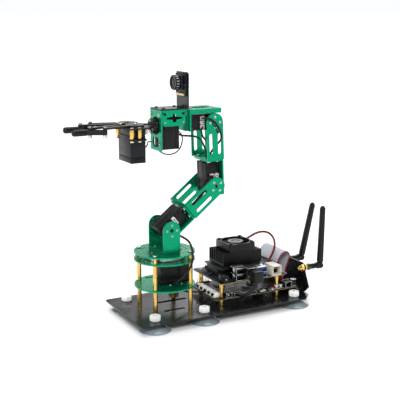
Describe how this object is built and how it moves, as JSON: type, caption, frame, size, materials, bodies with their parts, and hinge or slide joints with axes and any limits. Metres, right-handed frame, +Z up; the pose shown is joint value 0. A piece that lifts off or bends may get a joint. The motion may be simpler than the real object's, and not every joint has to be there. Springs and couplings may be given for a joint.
{
  "type": "articulated robot arm",
  "caption": "Desktop jointed robot arm on a plate with suction feet, a turning tower, three pitching links, a rolling two-finger gripper, a head camera and a cooled computer board.",
  "frame": {"origin": "middle of the footprint at floor level, under the suction feet", "axes": "+Z up; the arm reaches towards -X and the electronics and antennas stand at +X; +Y is the far side when the sockets are seen from the front"},
  "size_m": [0.359, 0.1304, 0.3176],
  "materials": {
    "anodised_green": "green anodised aluminium, satin",
    "black_metal": "black coated aluminium sheet, semi-gloss",
    "black_plastic": "black moulded plastic, satin",
    "brass": "turned brass, bright",
    "steel": "plain steel, machined",
    "clear_rubber": "clear soft vinyl, glossy",
    "circuit_board": "black circuit board with soldered parts",
    "black_rubber": "black rubber sleeve, semi-gloss",
    "ribbon": "light grey flat cable",
    "red_wire": "red insulated wire",
    "black_wire": "black insulated wire",
    "lens": "dark coated lens barrel"
  },
  "bodies": {
    "base": {"base_plate": "black_metal", "suction_foot_1": "clear_rubber", "suction_foot_2": "clear_rubber", "suction_foot_3": "clear_rubber", "suction_foot_4": "clear_rubber", "suction_foot_5": "clear_rubber", "suction_foot_6": "clear_rubber", "pillar_1": "brass", "pillar_2": "brass", "pillar_3": "brass", "pillar_4": "brass", "lower_disc": "anodised_green", "middle_disc": "anodised_green", "top_ring": "anodised_green", "slew_bearing": "steel", "base_servo": "black_plastic", "driver_board": "circuit_board", "carrier_board": "circuit_board", "heatsink": "black_metal", "fan_frame": "black_plastic", "ribbon_cable": "ribbon", "antenna_bracket": "black_metal", "fan_lead": "red_wire", "usb_cable": "black_wire", "base_lead": "black_wire"},
    "tower_head": {"turntable": "anodised_green", "shoulder_bracket": "anodised_green", "shoulder_lead": "black_wire"},
    "upper_arm": {"shoulder_servo": "black_plastic", "upper_arm_cradle": "anodised_green", "upper_arm_frame": "anodised_green", "elbow_lead": "black_wire"},
    "forearm": {"elbow_servo": "black_plastic", "forearm_cradle": "anodised_green", "forearm_frame": "anodised_green", "wrist_lead": "black_wire"},
    "wrist": {"wrist_servo": "black_plastic", "wrist_bracket": "anodised_green", "roll_servo_housing": "anodised_green", "roll_servo": "black_plastic", "camera_bracket": "black_metal", "camera_module": "black_plastic", "gripper_lead": "black_wire"},
    "lens": {"camera_lens": "lens"},
    "gripper_body": {"gripper_flange": "black_metal", "gripper_plate": "black_metal", "gripper_servo": "black_plastic"},
    "left_gear": {"left_gear_link": "black_metal"},
    "right_gear": {"right_gear_link": "black_metal"},
    "left_follower": {"left_follower_link": "black_metal"},
    "right_follower": {"right_follower_link": "black_metal"},
    "left_jaw": {"left_finger": "black_rubber"},
    "right_jaw": {"right_finger": "black_rubber"},
    "fan": {"fan_rotor": "black_plastic"},
    "antenna_1_stub": {"antenna_1_base": "black_plastic"},
    "antenna_1_mast": {"antenna_1_blade": "black_plastic"},
    "antenna_2_stub": {"antenna_2_base": "black_plastic"},
    "antenna_2_mast": {"antenna_2_blade": "black_plastic"},
    "switch_knob": {"power_switch": "black_plastic"},
    "button": {"reset_button": "red_wire"}
  },
  "joints": [
    {"name": "base_yaw", "type": "hinge", "parent": "base", "child": "tower_head", "pos_m": [-0.05237, 0, 0.088], "axis": [0, 0, 1], "range_deg": [-90, 90], "deforming": ["shoulder_lead"]},
    {"name": "shoulder_pitch", "type": "hinge", "parent": "tower_head", "child": "upper_arm", "pos_m": [-0.05237, 0, 0.1193], "axis": [0, 1, 0], "range_deg": [-100, 22], "deforming": ["shoulder_lead"]},
    {"name": "elbow_pitch", "type": "hinge", "parent": "upper_arm", "child": "forearm", "pos_m": [0.01247, 0, 0.17087], "axis": [0, -1, 0], "range_deg": [-80, 35], "deforming": ["elbow_lead"]},
    {"name": "wrist_pitch", "type": "hinge", "parent": "forearm", "child": "wrist", "pos_m": [0.00943, 0, 0.25367], "axis": [0, -1, 0], "range_deg": [-100, 20], "deforming": ["wrist_lead"]},
    {"name": "wrist_roll", "type": "hinge", "parent": "wrist", "child": "gripper_body", "pos_m": [-0.06137, 0, 0.2515], "axis": [1, 0, 0], "range_deg": [-90, 90], "deforming": ["gripper_lead"]},
    {"name": "gripper_open", "type": "hinge", "parent": "gripper_body", "child": "left_gear", "pos_m": [-0.09687, -0.013, 0.255], "axis": [0, 0, 1], "range_deg": [-13.5, 30]},
    {"name": "right_gear_turn", "type": "hinge", "parent": "gripper_body", "child": "right_gear", "pos_m": [-0.09687, 0.013, 0.255], "axis": [0, 0, 1], "range_deg": [-30, 13.5]},
    {"name": "left_follower_turn", "type": "hinge", "parent": "gripper_body", "child": "left_follower", "pos_m": [-0.11287, -0.005, 0.255], "axis": [0, 0, 1], "range_deg": [-13.5, 30]},
    {"name": "right_follower_turn", "type": "hinge", "parent": "gripper_body", "child": "right_follower", "pos_m": [-0.11287, 0.005, 0.255], "axis": [0, 0, 1], "range_deg": [-30, 13.5]},
    {"name": "left_finger_pivot", "type": "hinge", "parent": "left_gear", "child": "left_jaw", "pos_m": [-0.14081, -0.02401, 0.252], "axis": [0, 0, 1], "range_deg": [-30, 13.5]},
    {"name": "right_finger_pivot", "type": "hinge", "parent": "right_gear", "child": "right_jaw", "pos_m": [-0.14081, 0.02401, 0.252], "axis": [0, 0, 1], "range_deg": [-13.5, 30]},
    {"name": "lens_focus", "type": "hinge", "parent": "wrist", "child": "lens", "pos_m": [-0.03837, 0, 0.3044], "axis": [1, 0, 0], "range_deg": [-180, 180]},
    {"name": "fan_spin", "type": "hinge", "parent": "base", "child": "fan", "pos_m": [0.05513, 0.002, 0.083], "axis": [0, 0, 1], "continuous": true},
    {"name": "antenna_1_swivel", "type": "hinge", "parent": "base", "child": "antenna_1_stub", "pos_m": [0.14763, 0.011, 0.047], "axis": [1, 0, 0], "range_deg": [-100, 14]},
    {"name": "antenna_1_fold", "type": "hinge", "parent": "antenna_1_stub", "child": "antenna_1_mast", "pos_m": [0.16963, 0.011, 0.047], "axis": [0, 0.9816, 0.1908], "range_deg": [-4.5, 85.5]},
    {"name": "antenna_2_swivel", "type": "hinge", "parent": "base", "child": "antenna_2_stub", "pos_m": [0.14763, -0.0347, 0.047], "axis": [1, 0, 0], "range_deg": [-14, 90]},
    {"name": "antenna_2_fold", "type": "hinge", "parent": "antenna_2_stub", "child": "antenna_2_mast", "pos_m": [0.16963, -0.0347, 0.047], "axis": [0, 1, 0], "range_deg": [-1.5, 85.5]},
    {"name": "switch_slide", "type": "slide", "parent": "base", "child": "switch_knob", "axis": [1, 0, 0], "range_m": [0, 0.0035]},
    {"name": "button_press", "type": "slide", "parent": "base", "child": "button", "axis": [0, 0, -1], "range_m": [0, 0.0008], "stiffness_N_per_m": 200}
  ],
  "couplings": [
    {"joint": "right_gear_turn", "follows": "gripper_open", "ratio": -1},
    {"joint": "left_follower_turn", "follows": "gripper_open", "ratio": 1},
    {"joint": "right_follower_turn", "follows": "gripper_open", "ratio": -1},
    {"joint": "left_finger_pivot", "follows": "gripper_open", "ratio": -1},
    {"joint": "right_finger_pivot", "follows": "gripper_open", "ratio": 1}
  ]
}
